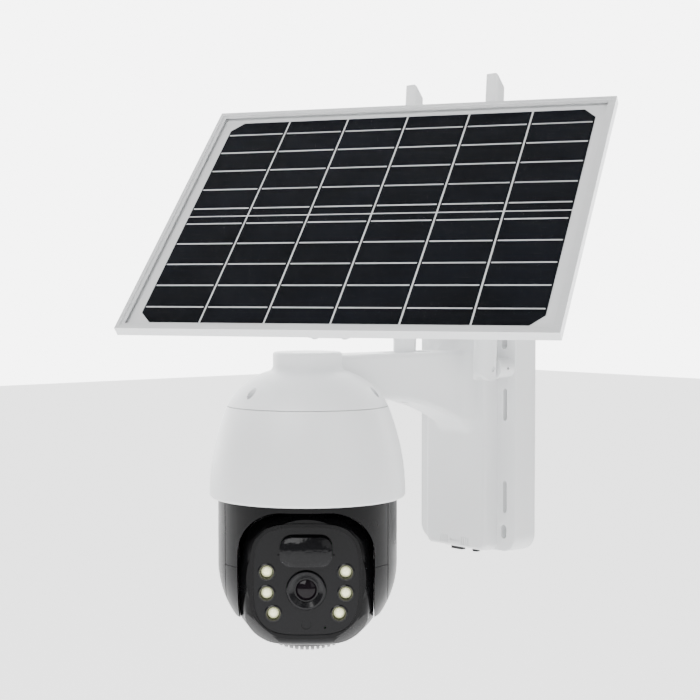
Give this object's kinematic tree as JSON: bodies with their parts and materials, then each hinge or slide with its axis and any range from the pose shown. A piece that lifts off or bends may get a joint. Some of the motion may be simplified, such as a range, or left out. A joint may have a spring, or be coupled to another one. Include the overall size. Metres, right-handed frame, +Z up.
{
  "type": "security camera",
  "caption": "Solar powered pan and tilt outdoor security camera with a dome on an arm, two antennas and a folding panel.",
  "frame": {"origin": "centre of the box's wall face", "axes": "+X right seen from the front, +Y towards the wall, +Z up; the head is stored turned 49 degrees and the solar panel 28 degrees to the right"},
  "size_m": [0.3016, 0.2658, 0.3548],
  "materials": {
    "white_plastic": "satin",
    "black_plastic": "satin",
    "black_gloss": "gloss",
    "grey_plastic": "satin",
    "gear_plastic": "satin",
    "rubber": "matte",
    "steel": "brushed",
    "frame_metal": "satin",
    "board": "satin",
    "glass": "gloss",
    "lamp": "gloss",
    "silicon": "gloss",
    "back_sheet": "matte",
    "cell_wrap": "satin"
  },
  "bodies": {
    "base": {"back_shell": "white_plastic", "box_gasket": "rubber", "arm_cover": "white_plastic", "box_screws": "steel", "battery_cells": "cell_wrap", "charge_board": "board", "charge_socket": "steel", "dome_skirt": "white_plastic", "dome_deck": "grey_plastic", "dome_screws": "steel", "main_board": "board", "pan_motor": "steel", "antenna_stubs": "white_plastic", "neck_post": "white_plastic", "neck_nut": "steel", "neck_cap": "white_plastic"},
    "port_plug": {"port_cap": "rubber"},
    "button": {"power_button": "rubber"},
    "pan_drive": {"pan_pinion": "gear_plastic"},
    "yoke": {"pan_gear_spindle": "gear_plastic", "spindle_screws": "steel", "pan_clip": "steel", "yoke_body": "black_plastic", "ear_covers": "black_plastic", "tilt_axles": "grey_plastic", "tilt_gear": "gear_plastic"},
    "head": {"tilt_motor": "steel", "head_front_shell": "black_plastic", "head_rear_shell": "black_plastic", "card_cover": "rubber", "face_bezel": "black_plastic", "face_window": "black_gloss", "pir_lens": "black_gloss", "lens_barrel": "black_plastic", "lens_glass": "glass", "light_rings": "black_plastic", "light_domes": "lamp", "light_board": "board", "light_sensor": "black_plastic", "sensor_board": "board", "speaker_grille": "black_plastic", "speaker": "black_plastic"},
    "tilt_drive": {"tilt_pinion": "gear_plastic"},
    "knuckle_right": {"antenna_knuckle_right": "white_plastic"},
    "knuckle_left": {"antenna_knuckle_left": "white_plastic"},
    "blade_right": {"antenna_blade_right": "white_plastic"},
    "blade_left": {"antenna_blade_left": "white_plastic"},
    "neck": {"swivel_arm": "white_plastic", "tilt_bolt": "steel"},
    "knob": {"tilt_knob": "black_plastic"},
    "panel": {"long_rails": "frame_metal", "short_rails": "frame_metal", "panel_glass": "glass", "solar_cells": "silicon", "cell_wires": "steel", "back_sheet": "back_sheet", "bar_rivets": "steel", "panel_bracket": "frame_metal", "junction_box": "black_plastic", "cable_gland": "rubber"}
  },
  "joints": [
    {"name": "pan", "type": "hinge", "parent": "base", "child": "yoke", "pos_m": [0, -0.1554, 0], "axis": [0, 0, 1], "range_deg": [-226.5, 128.5]},
    {"name": "pan_pinion_spin", "type": "hinge", "parent": "base", "child": "pan_drive", "pos_m": [0.02425, -0.1694, 0], "axis": [0, 0, 1], "range_deg": [-520, 910]},
    {"name": "tilt", "type": "hinge", "parent": "yoke", "child": "head", "pos_m": [0, -0.1554, -0.074], "axis": [0.6561, 0.7547, 0], "range_deg": [-10, 90]},
    {"name": "tilt_pinion_spin", "type": "hinge", "parent": "head", "child": "tilt_drive", "pos_m": [-0.01268, -0.14438, -0.074], "axis": [0.6561, 0.7547, 0], "range_deg": [-35, 275]},
    {"name": "antenna_right_swivel", "type": "hinge", "parent": "base", "child": "knuckle_right", "pos_m": [0.0373, -0.04045, 0.0454], "axis": [0, 1, 0], "range_deg": [-5, 10]},
    {"name": "antenna_right_fold", "type": "hinge", "parent": "knuckle_right", "child": "blade_right", "pos_m": [0.0373, -0.04045, 0.0454], "axis": [1, 0, 0], "range_deg": [-8, 0]},
    {"name": "antenna_left_swivel", "type": "hinge", "parent": "base", "child": "knuckle_left", "pos_m": [-0.0373, -0.04045, 0.0454], "axis": [0, 1, 0], "range_deg": [-90, 5]},
    {"name": "antenna_left_fold", "type": "hinge", "parent": "knuckle_left", "child": "blade_left", "pos_m": [-0.0373, -0.04045, 0.0454], "axis": [1, 0, 0], "range_deg": [-8, 0]},
    {"name": "panel_swivel", "type": "hinge", "parent": "base", "child": "neck", "pos_m": [0, -0.0757, 0], "axis": [0, 0, 1], "range_deg": [-58, 2]},
    {"name": "panel_tilt", "type": "hinge", "parent": "neck", "child": "panel", "pos_m": [0.02981, -0.13177, 0.1298], "axis": [0.8829, 0.4695, 0], "range_deg": [-6, 10]},
    {"name": "tilt_knob_turn", "type": "hinge", "parent": "neck", "child": "knob", "pos_m": [0.02981, -0.13177, 0.1298], "axis": [0.8829, 0.4695, 0], "range_deg": [-180, 180]},
    {"name": "power_press", "type": "slide", "parent": "base", "child": "button", "axis": [0, 0, 1], "range_m": [0, 0.001], "stiffness_N_per_m": 1500},
    {"name": "port_plug_pull", "type": "slide", "parent": "base", "child": "port_plug", "axis": [0, 0, -1], "range_m": [0, 0.012]}
  ],
  "couplings": [
    {"joint": "pan_pinion_spin", "follows": "pan", "ratio": -4},
    {"joint": "tilt_pinion_spin", "follows": "tilt", "ratio": 3}
  ]
}
